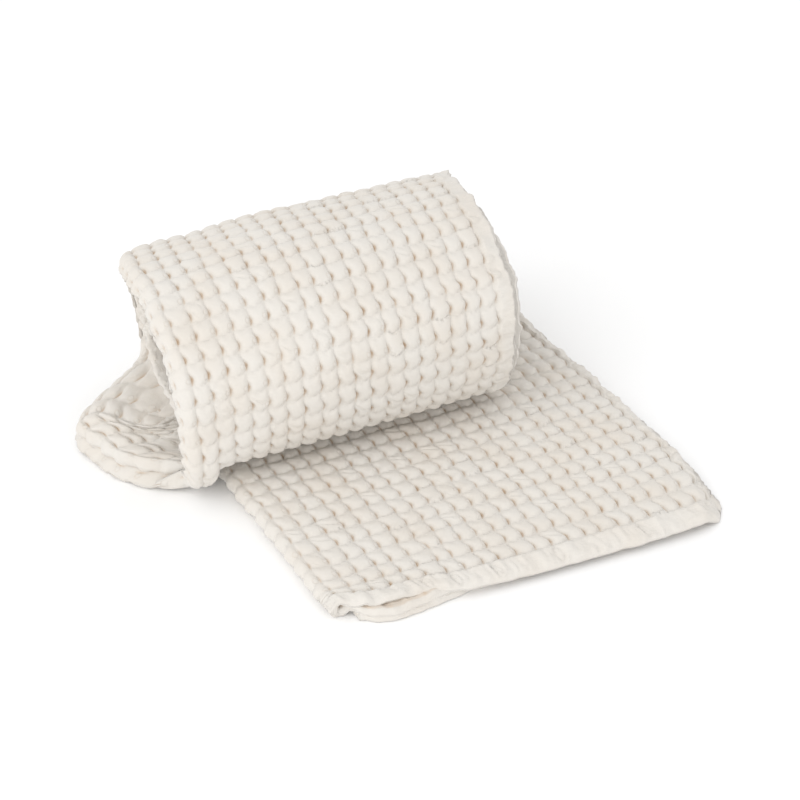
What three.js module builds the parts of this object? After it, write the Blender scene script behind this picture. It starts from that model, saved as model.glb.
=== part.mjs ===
import * as THREE from "three";

// Bath towel, folded in three along its length and rolled up from its far end,
// with the last stretch lying open in front of the roll. One piece of cloth.
// Millimetres. X runs along the roll, Y goes back from the open end, Z is up.
// The origin is on the floor, under the middle of the whole.

// Cloth: puffed cotton, its three layers a little apart.
const layerThick = 3.4;
const layerGap = 0.7;
const stackThick = 3 * layerThick + 2 * layerGap;
const wrapGap = 0.9;
const wrapPitch = stackThick + wrapGap;

// Roll: a sagging oval, seen from its end.
const rollMidY = 34;
const rollHalfDepth = 80;
const rollHalfHeight = 60;
const rollTurns = 3.85;
const stationsPerTurn = 24;

// Open stretch in front of the roll.
const openLength = 205;
const openStations = 9;

// How square each quarter of the oval is: 2 is a true ellipse, more is squarer.
const ovalSquareness = { backLow: 2.3, backHigh: 2.15, frontHigh: 2.15, frontLow: 3.1 };

// Side edges of the folded strip. turn -1 is the open end, 0 is under the middle
// of the roll and each whole number is one wrap further in.
// left: fold of the upper two layers.  right: fold of the lower two layers.
// under: how far the lowest layer's own edge sits in from the left fold.
// over: how far the top layer's own edge stands out past the right fold.
const sideEdges = [
  { turn: -1.0, left: -117, right: 107, under: 14, over: 21 },
  { turn: -0.86, left: -118, right: 118, under: 11, over: 9 },
  { turn: -0.74, left: -119, right: 123, under: 9, over: 4 },
  { turn: -0.5, left: -121, right: 121, under: 6, over: 5 },
  { turn: -0.25, left: -124, right: 119, under: 5, over: 5 },
  { turn: 0.0, left: -125, right: 115, under: 5, over: 5 },
  { turn: 0.16, left: -125, right: 106, under: 5, over: 4 },
  { turn: 0.26, left: -128, right: 97, under: 5, over: 4 },
  { turn: 0.34, left: -143, right: 86, under: 5, over: 4 },
  { turn: 0.42, left: -149, right: 74, under: 5, over: 4 },
  { turn: 0.5, left: -151, right: 67, under: 5, over: 4 },
  { turn: 0.75, left: -151, right: 60, under: 4, over: 4 },
  { turn: 0.86, left: -149, right: 59, under: 3, over: 4 },
  { turn: 0.93, left: -156, right: 59, under: -1, over: 4 },
  { turn: 1.0, left: -171, right: 60, under: -3, over: 4 },
  { turn: 1.065, left: -190, right: 60, under: -3, over: 4 },
  { turn: 1.11, left: -171, right: 60, under: 2, over: 4 },
  { turn: 1.17, left: -135, right: 61, under: 4, over: 4 },
  { turn: 1.35, left: -132, right: 62, under: 4, over: 4 },
  { turn: 1.6, left: -128, right: 63, under: 4, over: 4 },
  { turn: 2.0, left: -122, right: 64, under: 4, over: 3 },
  { turn: 3.0, left: -119, right: 67, under: 4, over: 3 },
  { turn: 4.0, left: -116, right: 69, under: 4, over: 3 },
];

// Open end: how far each layer's hemmed end stands ahead (+) or back (-).
const openEnd = [
  { across: 0.0, top: -16, middle: -15, bottom: -9 },
  { across: 0.08, top: -15, middle: -11, bottom: -3 },
  { across: 0.25, top: -10, middle: -7, bottom: -3 },
  { across: 0.5, top: 1, middle: -5, bottom: -6 },
  { across: 0.75, top: 10, middle: -2, bottom: -1 },
  { across: 0.94, top: 8, middle: -7, bottom: -7 },
  { across: 1.0, top: -4, middle: -9, bottom: -10 },
];
const openEndReach = 40;

// Where the cloth is divided across: two places in its left rim as shares of the
// rim's width, then places by X, then one place this far in from its right fold.
const leftRimShares = [0.3, 0.64];
const plainDivisions = [-105, -40, 20];
const rightRim = 13;

// The second wrap's left flap comes down to the floor beside the open stretch.
const flapHighX = -126;
const flapLowX = -137;
const flapFalls = { from: 0.7, to: 0.93 };
const flapRises = { from: 1.1, to: 1.24 };

// Behind the flap the outer wrap stands off from it by this much.
const standOff = 2;
const standOffStarts = { from: 0.03, to: 0.12 };
const standOffEnds = { from: 0.4, to: 0.55 };
const standOffX = { from: -98, to: -118 };

// The top layer's side hem hangs down where it stands out over the floor.
const hemDrop = 7.2;
const hemSlope = 0.55;

// How the roll sinks and sways from a true oval: shares of its height and depth,
// a low crown along its top, a ripple round it and a sway along it.
const sinkHeight = 60;
const leftSag = { fromX: -112, toX: -160, height: 0.05, depth: 0.06 };
const rightSag = { fromX: 40, toX: 75, height: 0.0075 };
const crown = { atX: -40, spread: 62, rise: 2.2, base: 1.4 };
const crownFrom = 50;
const crownFull = 120;
const ripple = { rise: 0.8, span: 14 };
const sway = { reach: 1.4, span: 41, shift: -0.6 };

function smooth(edge0, edge1, value) {
  const k = Math.min(1, Math.max(0, (value - edge0) / (edge1 - edge0)));
  return k * k * (3 - 2 * k);
}

function readRow(rows, key, at, column) {
  let i = 0;
  while (i < rows.length - 2 && rows[i + 1][key] < at) i += 1;
  const a = rows[i];
  const b = rows[i + 1];
  const k = Math.min(1, Math.max(0, (at - a[key]) / (b[key] - a[key])));
  const eased = 0.5 * k + 0.5 * k * k * (3 - 2 * k);
  return a[column] + (b[column] - a[column]) * eased;
}

function ovalPower(value, squareness) {
  return Math.sign(value) * Math.pow(Math.abs(value), 2 / squareness);
}

// Middle line of the strip at a given turn, as a point in the Y-Z plane.
function strandPoint(turn) {
  if (turn < 0) {
    return new THREE.Vector2(rollMidY + turn * openLength, stackThick / 2);
  }
  const angle = (turn - 0.25) * 2 * Math.PI;
  const c = Math.cos(angle);
  const s = Math.sin(angle);
  const back = s < 0 ? ovalSquareness.backLow : ovalSquareness.backHigh;
  const front = s < 0 ? ovalSquareness.frontLow : ovalSquareness.frontHigh;
  const squareness = c >= 0 ? back : front;
  const shrink = wrapPitch * turn;
  const midZ = stackThick / 2 + rollHalfHeight;
  const y = rollMidY + (rollHalfDepth - shrink) * ovalPower(c, squareness);
  const z = midZ + (rollHalfHeight - shrink) * ovalPower(s, squareness);
  return new THREE.Vector2(y, z);
}

// Direction from the strip's outer face towards its inner face.
function strandNormal(turn) {
  const step = 0.004;
  const before = strandPoint(Math.max(-1, turn - step));
  const after = strandPoint(turn + step);
  const along = after.sub(before).normalize();
  return new THREE.Vector2(-along.y, along.x);
}

function stationTurns() {
  const turns = [];
  for (let i = 0; i < openStations; i += 1) {
    turns.push(-1 + i / openStations);
  }
  turns.splice(1, 0, -0.965);
  const count = Math.round(rollTurns * stationsPerTurn);
  for (let i = 0; i <= count; i += 1) {
    turns.push(i / stationsPerTurn);
  }
  return turns;
}

function flapAmount(turn) {
  const fallen = smooth(flapFalls.from, flapFalls.to, turn);
  return fallen * (1 - smooth(flapRises.from, flapRises.to, turn));
}

// Places across the strip where every layer is divided, left to right.
function divisions(turn, start, end) {
  const flap = flapAmount(turn);
  const rim = plainDivisions[0] - start;
  const lowPlain = start + rim * leftRimShares[0];
  const highPlain = start + rim * leftRimShares[1];
  const low = THREE.MathUtils.lerp(lowPlain, Math.max(start + 3, flapLowX), flap);
  const high = THREE.MathUtils.lerp(highPlain, flapHighX, flap);
  return [low, high, ...plainDivisions, end - rightRim];
}

// Outline of the three folded layers across the strip, round the whole section.
// Each entry has its place across (x), height in the stack (h) and its layer.
function foldedSection(turn) {
  const left = readRow(sideEdges, "turn", turn, "left");
  const right = readRow(sideEdges, "turn", turn, "right");
  const lowLeft = left + readRow(sideEdges, "turn", turn, "under");
  const topRight = right + readRow(sideEdges, "turn", turn, "over");
  const foldRound = layerThick + layerGap / 2;
  const middleLow = layerThick + layerGap;
  const topLow = 2 * middleLow;
  const leftStart = left + foldRound;
  const rightStart = right - foldRound;
  const places = divisions(turn, leftStart, rightStart);
  const topPlaces = [...places.slice(0, -1), right + 1];
  const outline = [];
  const add = (x, h, layer) => outline.push({ x, h, layer });
  const runLeft = (from, inner, to, h, layer) => {
    [from, ...[...inner].reverse(), to].forEach((x) => add(x, h, layer));
  };
  const runRight = (from, inner, to, h, layer) => {
    [from, ...inner, to].forEach((x) => add(x, h, layer));
  };
  // top layer's upper face, then round the left fold and back under the middle layer
  runLeft(topRight - 1, topPlaces, leftStart, topLow + layerThick, "top");
  for (const k of [0.25, 0.5, 0.75]) {
    const x = left + foldRound * (1 - Math.sin(k * Math.PI));
    const h = topLow - layerGap / 2 + foldRound * Math.cos(k * Math.PI);
    add(x, h, k < 0.5 ? "top" : "middle");
  }
  runRight(leftStart, places, rightStart, middleLow, "middle");
  add(rightStart + layerGap * 0.6, layerThick + layerGap / 2, "middle");
  // lowest layer, round its own free edge, then round the right fold
  const lowStart = lowLeft + 1;
  const lowPlaces = places.map((x, i) => Math.max(x, lowStart + 1.2 * (i + 1)));
  runLeft(rightStart, lowPlaces, lowStart, layerThick, "bottom");
  add(lowLeft, layerThick / 2, "bottom");
  runRight(lowStart, lowPlaces, rightStart, 0, "bottom");
  for (const k of [0.25, 0.5, 0.75]) {
    const x = right - foldRound * (1 - Math.sin(k * Math.PI));
    const h = foldRound - foldRound * Math.cos(k * Math.PI);
    add(x, h, k > 0.5 ? "middle" : "bottom");
  }
  runLeft(rightStart, places, leftStart, middleLow + layerThick, "middle");
  add(leftStart - layerGap * 0.6, topLow - layerGap / 2, "middle");
  // top layer's lower face, round its own free edge
  runRight(leftStart, topPlaces, topRight - 1, topLow, "top");
  add(topRight, topLow + layerThick / 2, "top");
  return { outline, left, right, topRight };
}

// Puts one corner of a folded section in its place on the roll or on the floor.
function placePoint(turn, entry, section) {
  const centre = strandPoint(turn);
  const inward = strandNormal(turn);
  let rise = entry.h - stackThick / 2;
  const across = (entry.x - section.left) / (section.topRight - section.left);
  const overhang = Math.max(0, entry.x - section.right - 1);
  if (turn < -0.1 && entry.layer === "top") {
    rise -= Math.min(hemDrop, hemSlope * overhang);
  }
  const starts = smooth(standOffStarts.from, standOffStarts.to, turn);
  const ends = smooth(standOffEnds.from, standOffEnds.to, turn);
  rise -= standOff * starts * (1 - ends) * smooth(standOffX.from, standOffX.to, entry.x);
  let y = centre.x + inward.x * rise;
  let z = centre.y + inward.y * rise;
  const atOpenEnd = smooth(-1 + openEndReach / openLength, -1, turn);
  y -= atOpenEnd * readRow(openEnd, "across", across, entry.layer);
  z -= wrapPitch * flapAmount(turn) * smooth(flapHighX, flapLowX, entry.x);
  return settle(new THREE.Vector3(entry.x, y, z));
}

// Gentle unevenness of the whole roll, nothing at floor level.
function settle({ x, y, z }) {
  const lift = smooth(stackThick, sinkHeight, z);
  const atLeft = smooth(leftSag.fromX, leftSag.toX, x);
  const atRight = smooth(rightSag.fromX, rightSag.toX, x);
  const height = 1 - lift * (leftSag.height * atLeft + rightSag.height * atRight);
  const depth = 1 - lift * leftSag.depth * atLeft;
  const fromCrown = (x - crown.atX) / crown.spread;
  const crownRise = crown.base + crown.rise * Math.exp(-fromCrown * fromCrown);
  const rise = crownRise + ripple.rise * Math.sin(y / ripple.span);
  const swayed = sway.reach * Math.sin(x / sway.span + sway.shift);
  return new THREE.Vector3(
    x,
    rollMidY + (y - rollMidY) * depth + swayed * lift,
    z * height + rise * lift * smooth(crownFrom, crownFull, z),
  );
}

// Closes one end of the strip with triangles zipped between its two faces.
function zipEnd(outline, firstCorner) {
  const count = outline.length;
  const leftEdge = count / 2 - 1;
  const rightEdge = count - 1;
  const apart = (p, q) => Math.hypot(outline[p].x - outline[q].x, outline[p].h - outline[q].h);
  let upper = 0;
  let lower = rightEdge - 1;
  const corners = [rightEdge, upper, lower];
  while (upper < leftEdge - 1 || lower > leftEdge + 1) {
    const canUpper = upper < leftEdge - 1;
    const canLower = lower > leftEdge + 1;
    const stepUpper = canUpper && (!canLower || apart(upper + 1, lower) <= apart(upper, lower - 1));
    if (stepUpper) {
      corners.push(upper, upper + 1, lower);
      upper += 1;
    } else {
      corners.push(upper, lower - 1, lower);
      lower -= 1;
    }
  }
  corners.push(upper, leftEdge, lower);
  return corners.map((corner) => corner + firstCorner);
}

function buildTowel() {
  const turns = stationTurns();
  const sections = turns.map((turn) => foldedSection(turn));
  const count = sections[0].outline.length;
  const corners = [];
  turns.forEach((turn, i) => {
    for (const entry of sections[i].outline) {
      const p = placePoint(turn, entry, sections[i]);
      corners.push(p.x, p.y, p.z);
    }
  });
  const faces = [];
  for (let i = 0; i < turns.length - 1; i += 1) {
    for (let j = 0; j < count; j += 1) {
      const next = (j + 1) % count;
      const a = i * count + j;
      const b = i * count + next;
      const c = a + count;
      const d = b + count;
      // the same diagonal on every layer, so that neighbours stay parallel
      const toRight = sections[i].outline[next].x > sections[i].outline[j].x;
      if (toRight) faces.push(a, c, b, b, c, d);
      else faces.push(a, c, d, a, d, b);
    }
  }
  faces.push(...zipEnd(sections[0].outline, 0));
  const last = turns.length - 1;
  faces.push(...zipEnd(sections[last].outline, last * count).reverse());
  const geometry = new THREE.BufferGeometry();
  geometry.setAttribute("position", new THREE.Float32BufferAttribute(corners, 3));
  geometry.setIndex(faces);
  geometry.computeBoundingBox();
  const { min, max } = geometry.boundingBox;
  geometry.translate(-(min.x + max.x) / 2, -(min.y + max.y) / 2, -min.z);
  geometry.computeVertexNormals();
  return geometry;
}

const towel = new THREE.Mesh(
  buildTowel(),
  new THREE.MeshStandardMaterial({ color: 0xeae4d8, roughness: 0.95, metalness: 0 }),
);
towel.name = "towel";

const part = new THREE.Group();
part.name = "bath_towel";
part.add(towel);

export default part;
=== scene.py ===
import math

import bpy
import numpy as np
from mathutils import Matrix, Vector


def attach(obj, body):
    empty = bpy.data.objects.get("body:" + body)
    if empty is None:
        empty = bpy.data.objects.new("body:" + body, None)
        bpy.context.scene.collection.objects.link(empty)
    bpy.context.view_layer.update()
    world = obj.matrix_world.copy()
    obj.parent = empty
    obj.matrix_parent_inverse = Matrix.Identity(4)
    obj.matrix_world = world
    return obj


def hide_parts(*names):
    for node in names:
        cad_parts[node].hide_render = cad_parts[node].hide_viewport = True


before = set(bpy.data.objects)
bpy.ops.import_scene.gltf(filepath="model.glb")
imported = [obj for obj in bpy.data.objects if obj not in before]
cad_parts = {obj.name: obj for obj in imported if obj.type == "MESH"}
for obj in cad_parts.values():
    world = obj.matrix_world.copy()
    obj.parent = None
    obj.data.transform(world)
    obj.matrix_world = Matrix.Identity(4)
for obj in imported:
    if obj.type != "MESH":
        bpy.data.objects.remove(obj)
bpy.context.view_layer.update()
mm = 0.001

# The strip: a towel folded in three along its length, then rolled up from one
# end. All sizes in millimetres, the same as in the solid that the cloth dresses.
strip = {
    "flatWidth": 700,
    "layerThick": 3.4,
    "layerGap": 0.7,
    "wrapGap": 0.9,
    "rollMidY": 34,
    "rollHalfDepth": 80,
    "rollHalfHeight": 60,
    "rollTurns": 3.85,
    "openLength": 205,
    "squareness": {"backLow": 2.3, "backHigh": 2.15, "frontHigh": 2.15, "frontLow": 3.1},
    "originShift": (29.4, 30.12),  # from the strip's own origin to the frame's
}
stackThick = 3 * strip["layerThick"] + 2 * strip["layerGap"]
wrapPitch = stackThick + strip["wrapGap"]
foldRound = strip["layerThick"] + strip["layerGap"] / 2
middleLow = strip["layerThick"] + strip["layerGap"]  # height of the middle layer's lower face
topLow = 2 * middleLow
topLayer, middleLayer, lowLayer = range(3)
upperSide, lowerSide = 1, -1  # of the cloth

# Side edges of the strip. turn -1 is the open end, 0 is under the middle of the
# roll, 0.5 its top. under and over: where the lowest layer's left hem and the
# top layer's right hem stand from the two folds.
sideColumns = ("turn", "left", "right", "under", "over")
sideRows = [
    (-1.0, -117, 107, 14, 21),
    (-0.86, -118, 118, 13, 9),
    (-0.74, -119, 123, 12, 4),
    (-0.5, -121, 121, 12, 5),
    (-0.25, -124, 119, 12, 5),
    (0.0, -126, 115, 8, 5),
    (0.13, -128, 108, 6, 4),
    (0.19, -130, 104, 5, 4),
    (0.24, -131, 99, 5, 4),
    (0.28, -134, 95, 5, 4),
    (0.32, -138, 89, 5, 4),
    (0.36, -142, 83, 5, 4),
    (0.42, -148, 74, 5, 4),
    (0.47, -151, 68.5, 5, 4),
    (0.54, -152, 63.5, 5, 4),
    (0.62, -153, 60.5, 4, 4),
    (0.72, -153, 58.5, 4, 4),
    (0.8, -152, 57.5, 4, 4),
    (0.86, -149, 57.5, 3, 4),
    (0.9, -147, 59, -4, 4),
    (0.93, -151, 59, -8, 4),
    (0.965, -166, 60, -6, 4),
    (1.0, -180, 60, -3, 4),
    (1.03, -187, 60, -2, 4),
    (1.055, -190, 60, -2, 4),
    (1.081, -180, 60, 0, 4),
    (1.11, -167, 60, 2, 4),
    (1.139, -151, 61, 3, 4),
    (1.16, -136, 61, 4, 4),
    (1.2, -131, 62, 4, 4),
    (1.25, -133, 62, 4, 4),
    (1.35, -138, 62, 4, 4),
    (1.5, -139, 63, 4, 4),
    (1.62, -134, 63, 4, 4),
    (1.72, -129, 63, 4, 4),
    (1.82, -127, 64, 4, 4),
    (2.0, -127, 64, 4, 3),
    (2.25, -134, 64, 4, 3),
    (2.5, -143, 65, 4, 3),
    (2.7, -148, 65, 4, 3),
    (3.0, -140, 67, 4, 3),
    (3.25, -135, 67, 4, 3),
    (3.5, -141, 68, 4, 3),
    (4.0, -141, 69, 4, 3),
]

# How far each layer's hem stands ahead (+) or back (-) at the open end, by the
# share of the width from the left fold.
openColumns = ("across", "top", "middle", "bottom")
openRows = [
    (0.0, -18, -19, -14),
    (0.02, -18, -20, -14),
    (0.045, -16, -18, -13),
    (0.07, -12, -11, -10),
    (0.09, -10, -6, -6),
    (0.13, -9, -3, -3),
    (0.185, -9, -4, -3),
    (0.235, -8, -5, -4),
    (0.28, -5, -6, -5.5),
    (0.335, -2, -7, -7),
    (0.48, 1, -9, -11),
    (0.64, 3, -8, -10),
    (0.74, 5, -6, -8),
    (0.9, 6, -7, -9),
    (0.96, 3, -9, -10),
    (1.0, -8, -11, -13),
]

# How far the top layer's hem gapes over the middle one at the open end, and how
# far the middle one hangs, by x.
mouthColumns = ("x", "rise", "hang")
mouthRows = [
    (-120, 0.0, 0.0),
    (-111, 0.5, 0.0),
    (-105, -2.2, 0.0),
    (-99.5, 1.5, 1.6),
    (-94, -1.6, 0.4),
    (-88, 0.2, 1.4),
    (-80, -0.2, 1.2),
    (-72, -2.0, 0.4),
    (-62, -1.6, 0.6),
    (-54, -2.4, 0.5),
    (-40, -3.8, 0.5),
    (0, -4.8, 0.6),
    (60, -4.6, 0.6),
    (110, -3.6, 0.4),
]

# How the strip lies. x and reaches in millimetres, from and to in turns.
lay = {
    "edgeSoft": 4,  # rounds the corners of the side edges
    "openEndReach": 40,  # how far in from the open end the stagger of its hems is felt
    "mouthReach": 13,  # and how far in their gape is
    "frontWave": {"reach": 0.9, "spans": (11, 5), "fineShare": 0.5},
    # the lobe: the second wrap leaves the roll at the left and comes down to the floor
    "flap": {"x": (-126, -137), "from": (0.7, 0.93), "to": (1.1, 1.24)},
    "flapLoft": {"rise": 0.6, "inFromEdge": (8, 30), "from": (0.86, 0.95), "to": (1.13, 1.2)},
    "flapBulge": {"rise": 9, "at": 19, "reach": 15, "from": (0.97, 1.03), "to": (1.12, 1.19)},
    # its rows run together towards the roll
    "gather": {"share": 0.74, "toY": 14, "toZ": 30, "inFromEdge": (5, 44), "x": (-130, -112),
               "from": (0.94, 1.0), "to": (1.13, 1.24)},
    # the back of the outer wrap stands off a little at the left
    "standOff": {"depth": 2, "x": (-98, -118), "from": (0.03, 0.12), "to": (0.4, 0.55)},
    # the top layer's right hem droops over the right fold, up to where the roll starts
    "hemDrop": {"most": 7.2, "slope": 0.55, "start": 1, "to": (-0.1, 0.06)},
    "sinkHeight": 60,
    "leftSag": {"x": (-60, -152), "height": 0.05, "depth": 0.05},
    "rightSag": {"x": (40, 80), "height": 0.012},
    "crown": {"x": -40, "spread": 62, "rise": 2.2, "base": 1.0, "z": (50, 120)},
    "ripple": {"rise": 0.8, "span": 14},
    "sway": {"reach": 1.4, "span": 41, "shift": -0.6},
}

# The weave's cells, one puff each. Places and reaches inside a cell are in
# cells: 0 to 1 from left to right, and 0 to 1 from the nub's side up.
weave = {
    "cellAlong": 12.7,
    "cellAcross": 10.7,
    "hemCell": 11,
    "insideFrom": -120,  # x where the cells of the faces inside the fold are counted from
    "puffRise": 2.5,
    "sink": 0.58,
    # hollow, in the dome and at the corner: how much painted shade the valleys and the corners
    # get
    "dome": {"squareness": 3, "fill": 0.96, "fall": 2.2, "round": 0.7,
             "least": 0.84, "more": 0.26, "hollow": 0.22},
    "joined": {"chance": 0.05, "depth": 0.45},  # puffs that run into the next row
    "pinch": {"chance": 0.08, "slant": 0.4, "width": 0.09, "depth": 0.4},
    "dent": {"chance": 0.07, "size": (0.3, 0.34), "width": 0.22, "depth": 0.3},
    "nub": {"at": (0.79, 0.27), "reach": (0.13, 0.13), "rise": 0.28},
    "pit": {"at": 0.27, "reach": (0.07, 0.19), "depth": 1.7, "bow": (0.05, 0.8),
            "least": 0.5, "more": 0.7},
    "corner": {"reach": (0.11, 0.11), "depth": 0.45, "hollow": 0.3},
    "wander": 0.12,  # how far rows, nubs and pits stray
    "loose": 0.075,
    "scale": 0.075,
    "wrinkle": 0.22,
    "crumple": {"from": (0.3, 0.8), "patch": 0.3, "stray": 1.2, "wrinkle": (0.6, 1.6),
                "folds": 0.5, "flatter": 0.25},
    "softCells": 2.2,  # cells beside the left fold with lower puffs
    "seed": 7,
}

# A hem's short ribs, knots and dents, counted in cells along and across it.
hemLook = {
    "ground": 0.4,
    "rise": 0.95,
    "middle": 0.5,
    "ribs": {"perCell": ((3.1, 1.2), (5.3, 1.7)), "shares": (0.55, 0.45), "round": 0.7,
             "rise": 0.48},
    "knots": {"perCell": (1.05, 1.4), "rise": 0.45},
    "dents": {"perCell": 1.3, "chance": 0.3, "size": (0.3, 0.34), "width": 0.24, "depth": 0.4},
}

# The three hems in front at the open end. Reaches in millimetres from the end.
frontHems = {
    "thicker": 0.45,
    "thickerOver": (3, 13),
    "lowThicker": 0.4,
    "lowThickerOver": (2, 9),
    "least": 0.02,
    "foldFromEdge": (1, 6),
    "foldShare": 0.3,
    "cells": (0.82, 0.98),
    # over which reach from the end the painted shade comes in
    "shadeFrom": (1.2, 3.2),
    "reliefFrom": (0, 2.2),
}

# The rims of the strip's section, point by point: how far out from the edge, and
# how high in millimetres or, for the two hems, as a share of the thickness. The
# low hem's points also have their cell and puff.
rims = {
    "lip": 1.3,
    "outerLip": 1.5,
    "topHem": ((-0.5, 0.1), (0, 0.5), (-0.5, 0.9)),
    "lowHem": ((0.5, 0.86, 0.2, 0.5), (0, 0.5, 0.1, 0.7), (0.5, 0.14, 0.0, 0.7)),
    "lowHemWide": 1.5,
    "rightLow": ((-2.4, 0.2), (-1.2, 1.5), (-2.2, 2.9)),
    "rightHigh": ((-0.8, 4.7), (1.0, 5.8), (-0.4, 7.1)),
    "rightStep": {"out": 3.6, "from": (0.5, 0.62), "to": (0.95, 1.05)},
    "rightPress": {"in": 1.4, "open": 2.5, "rolled": 4.5, "from": (-0.2, 0.15)},
    "hang": {"clear": 0.15, "x": (-6.5, -0.5)},  # from the low layer's left hem
    # the hole's last value is the painted shade inside it
    "hole": {"clear": 0.15, "wide": 0.8, "narrower": 0.7, "over": (1.5, 4), "paintedShade": 1.4},
    "curl": {"foot": -4.6, "wide": 8, "lip": 1.4, "flatEdge": 2.2, "flatRise": 2.4},
}


def smooth(edge0, edge1, value):
    k = np.clip((value - edge0) / (edge1 - edge0), 0, 1)
    return k * k * (3 - 2 * k)


def bell(value, reach):
    return np.exp(-((value / reach) ** 2))


def readColumn(rows, columns, name, at):
    table = np.array(rows, float)
    where = table[:, 0]
    values = table[:, columns.index(name)]
    i = np.clip(np.searchsorted(where, at) - 1, 0, len(where) - 2)
    k = np.clip((at - where[i]) / (where[i + 1] - where[i]), 0, 1)
    eased = 0.5 * k + 0.5 * k * k * (3 - 2 * k)
    return values[i] + (values[i + 1] - values[i]) * eased


def softened(values, places, reach):
    # rounds off a row of values that stands at uneven places
    even = np.arange(places[0] - 4 * reach, places[-1] + 4 * reach, 1.0)
    spread = np.interp(even, places, values)
    span = np.arange(-3 * reach, 3 * reach + 1)
    weights = bell(span, reach * 1.4)
    soft = np.convolve(spread, weights / weights.sum(), mode="same")
    return np.interp(places, even, soft)


def strandPoint(turn):
    angle = (np.maximum(turn, 0) - 0.25) * 2 * np.pi
    c = np.cos(angle)
    s = np.sin(angle)
    square = strip["squareness"]
    back = np.where(s < 0, square["backLow"], square["backHigh"])
    front = np.where(s < 0, square["frontLow"], square["frontHigh"])
    power = 2 / np.where(c >= 0, back, front)
    shrink = wrapPitch * np.maximum(turn, 0)
    y = strip["rollMidY"] + (strip["rollHalfDepth"] - shrink) * np.sign(c) * np.abs(c) ** power
    centreZ = stackThick / 2 + strip["rollHalfHeight"]
    z = centreZ + (strip["rollHalfHeight"] - shrink) * np.sign(s) * np.abs(s) ** power
    isOpen = turn < 0
    y = np.where(isOpen, strip["rollMidY"] + turn * strip["openLength"], y)
    z = np.where(isOpen, stackThick / 2, z)
    return y, z


def strandNormal(turn):
    step = 0.004
    y0, z0 = strandPoint(turn - step)
    y1, z1 = strandPoint(turn + step)
    length = np.hypot(y1 - y0, z1 - z0)
    return -(z1 - z0) / length, (y1 - y0) / length


# Distance along the strip's outer face, from the open end, at closely set turns.
turnScale = np.linspace(-1.1, strip["rollTurns"] + 0.1, 9000)
midY, midZ = strandPoint(turnScale)
normalY, normalZ = strandNormal(turnScale)
outerY = midY - normalY * stackThick / 2
outerZ = midZ - normalZ * stackThick / 2
alongScale = np.concatenate([[0], np.cumsum(np.hypot(np.diff(outerY), np.diff(outerZ)))])
alongScale = alongScale - np.interp(-1, turnScale, alongScale)


def alongAt(turn):
    return np.interp(turn, turnScale, alongScale)


def turnAt(along):
    return np.interp(along, alongScale, turnScale)


dice = np.random.default_rng(weave["seed"])  # the same numbers each run
cellDice = dice.random((97, 193, 8))


def cellRandom(i, j, which):
    return cellDice[i.astype(int) % 97, j.astype(int) % 193, which]


def cloudy(u, v, which):
    # soft noise from -1 to 1, one value for each cell of u and v
    i = np.floor(u)
    j = np.floor(v)
    fu = smooth(0, 1, u - i)
    fv = smooth(0, 1, v - j)
    low = cellRandom(i, j, which) * (1 - fu) + cellRandom(i + 1, j, which) * fu
    high = cellRandom(i, j + 1, which) * (1 - fu) + cellRandom(i + 1, j + 1, which) * fu
    return (low * (1 - fv) + high * fv) * 2 - 1


def wavyLine(v, perCell, row, which):
    # soft noise from -1 to 1 along an edge
    return cloudy(v * perCell, np.full_like(v, row), which)


def puffRelief(u, w, rowDepth):
    # height over the cloth's ground in shares of a puff's rise, and how much painted shade a
    # place gets in the hollows between the puffs
    wander = weave["wander"]
    w = w + wander * cloudy(u * 0.7 + 31, w * 0.7 + 5, 0)
    w = w - weave["scale"] * np.cos(2 * np.pi * u)
    i = np.floor(u + 1e-6)
    j = np.floor(w)
    fu = u - i
    fw = w - j
    p = np.clip(np.abs(2 * fu - 1), 0, 1)
    q = np.clip(np.abs(2 * fw - 1), 0, 1)
    joined = weave["joined"]
    isJoined = cellRandom(i, j, 2) < joined["chance"]
    depth = np.where(isJoined, joined["depth"] * rowDepth, rowDepth)
    shape = weave["dome"]
    power = shape["squareness"]
    reach = ((shape["fill"] * p) ** power + (depth * q) ** power) ** (1 / power)
    dome = (1 - np.minimum(reach, 1) ** shape["fall"]) ** shape["round"]
    valley = 1 - dome
    dome = dome * (shape["least"] + shape["more"] * cellRandom(i, j, 3))
    # some puffs are pinched in two, some have an oval dent
    pinch = weave["pinch"]
    slanted = fw - 0.5 + pinch["slant"] * (fu - 0.5)
    pinched = (cellRandom(i, j, 4) < pinch["chance"]) * bell(slanted, pinch["width"])
    dent = weave["dent"]
    ring = np.hypot((fu - 0.5) / dent["size"][0], (fw - 0.5) / dent["size"][1])
    dented = (cellRandom(i, j, 5) < dent["chance"]) * bell(ring - 1, dent["width"])
    dome = dome * (1 - pinch["depth"] * pinched - dent["depth"] * dented)
    # each has a nub low at the right, and a pit between it and the next puff
    nub = weave["nub"]
    nubAt = nub["at"][1] + wander * (cellRandom(i, j, 6) - 0.5)
    nubbed = bell(fu - nub["at"][0], nub["reach"][0]) * bell(fw - nubAt, nub["reach"][1])
    pit = weave["pit"]
    side = u - np.round(u)
    owner = np.where(side < 0, i, i - 1)
    pitAt = pit["at"] + wander * (cellRandom(owner, j, 6) - 0.5)
    bowed = side - pit["bow"][0] + pit["bow"][1] * (fw - pitAt) ** 2
    strength = pit["least"] + pit["more"] * cellRandom(owner, j, 7)
    pitted = strength * bell(bowed, pit["reach"][0]) * bell(fw - pitAt, pit["reach"][1])
    corner = weave["corner"]
    cornered = bell(side, corner["reach"][0]) * bell(w - np.round(w), corner["reach"][1])
    lowered = pit["depth"] * pitted + corner["depth"] * cornered
    height = dome + (nub["rise"] * nubbed - lowered) / weave["puffRise"]
    # painted shade in the valleys, in the pits and at the corners
    hollow = shape["hollow"] * valley ** 2 + pitted + corner["hollow"] * cornered
    return height, hollow


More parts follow.
